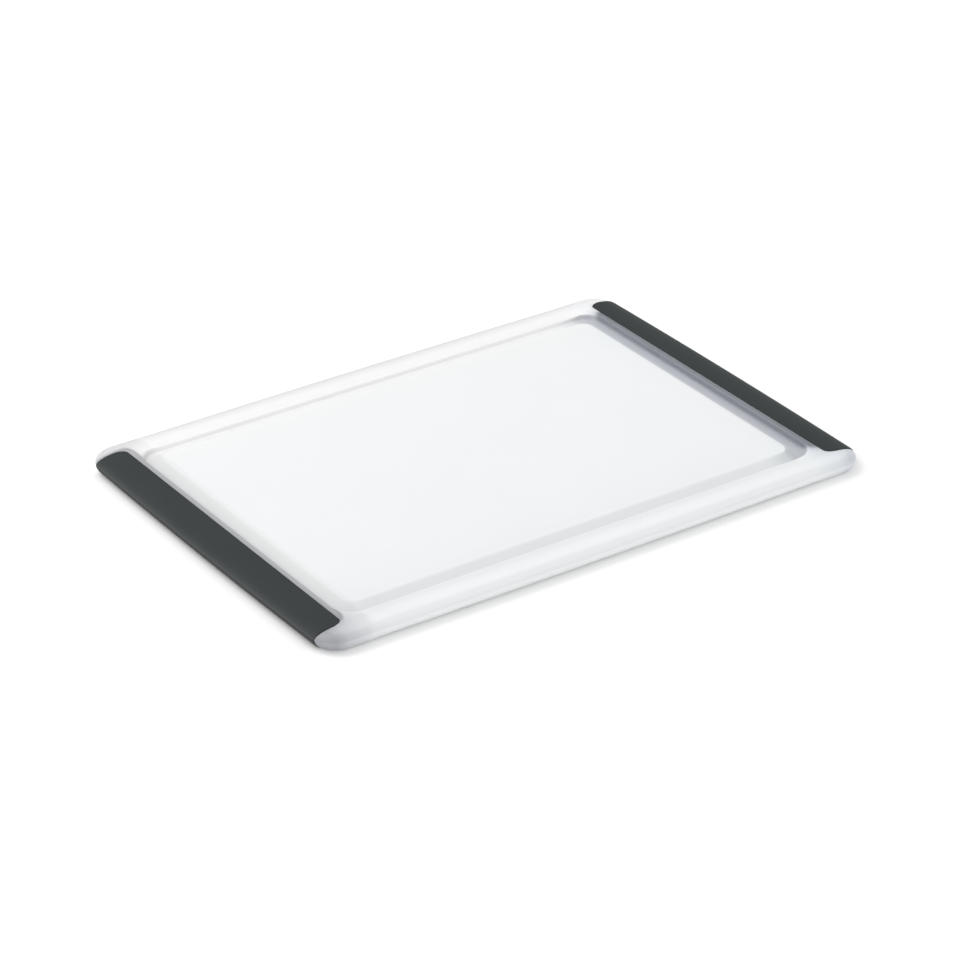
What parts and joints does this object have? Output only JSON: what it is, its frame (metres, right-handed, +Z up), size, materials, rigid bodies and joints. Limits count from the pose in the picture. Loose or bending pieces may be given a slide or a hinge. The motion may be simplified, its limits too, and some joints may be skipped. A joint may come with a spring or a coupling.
{
  "type": "cutting board",
  "caption": "Rectangular plastic cutting board with rounded corners, a juice groove round the flat cutting surface and soft rubber grips wrapped over both short ends.",
  "frame": {"origin": "on the worktop, under the middle of the board, level with the undersides of the grips", "axes": "+X along the length, towards the right grip; +Y across the width, away from the user; +Z up, out of the grooved cutting surface"},
  "size_m": [0.54, 0.38, 0.0154],
  "materials": {
    "white_plastic": "satin, slightly translucent polypropylene",
    "charcoal_rubber": "matt, fine-textured thermoplastic rubber"
  },
  "bodies": {
    "root": {"board": "white_plastic", "left_grip": "charcoal_rubber", "right_grip": "charcoal_rubber"}
  },
  "joints": []
}
